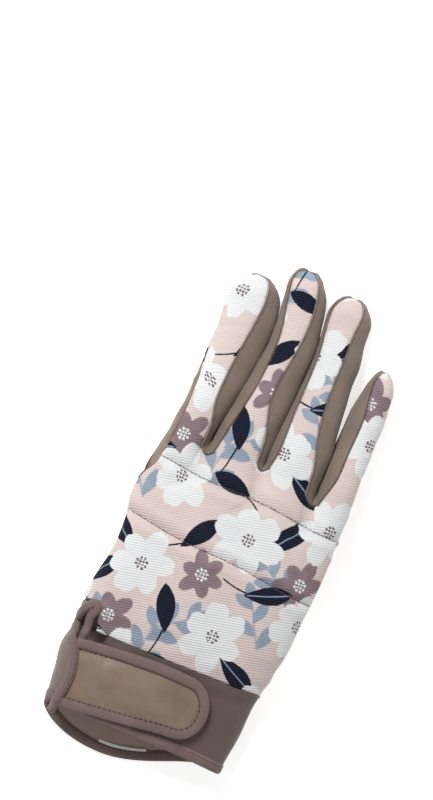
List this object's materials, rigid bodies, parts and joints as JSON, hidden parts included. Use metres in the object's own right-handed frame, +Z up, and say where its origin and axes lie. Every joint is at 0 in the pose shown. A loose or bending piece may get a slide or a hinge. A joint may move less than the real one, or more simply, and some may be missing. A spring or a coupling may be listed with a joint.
{
  "type": "gardening glove",
  "caption": "Right-hand gardening glove lying palm down: printed stretch back, leather palm with touch fingertips, elastic finger gussets and a hook-and-loop wrist strap.",
  "frame": {"origin": "on the surface the glove lies on, under the middle of its outline", "axes": "+Y to the fingertips, +X to the little finger, +Z up out of the back of the hand"},
  "size_m": [0.0946, 0.2296, 0.031],
  "materials": {
    "print_fabric": "matt ribbed stretch knit with a printed flower pattern",
    "leather": "soft smooth synthetic leather with a low sheen",
    "elastic_rib": "fine ribbed elastane",
    "cuff_rib": "matt ribbed elastic knit",
    "smooth_knit": "smooth matt stretch knit",
    "binding_tape": "matt ribbed tape",
    "label": "plain satin ribbon"
  },
  "bodies": {
    "root": {"back_panel": "print_fabric", "thumb_back": "print_fabric", "palm_panel": "leather", "thumb_front": "leather", "crotch_patch": "leather", "index_touch_tip": "leather", "middle_touch_tip": "leather", "palm_pad_upper": "leather", "palm_pad_heel": "leather", "wrist_strap": "leather", "fourchette_index_middle": "elastic_rib", "fourchette_middle_ring": "elastic_rib", "fourchette_ring_little": "elastic_rib", "cuff_knit": "cuff_rib", "cuff_back": "smooth_knit", "cuff_binding": "binding_tape", "slit_binding": "binding_tape", "strap_binding": "binding_tape", "size_label": "label"}
  },
  "joints": []
}
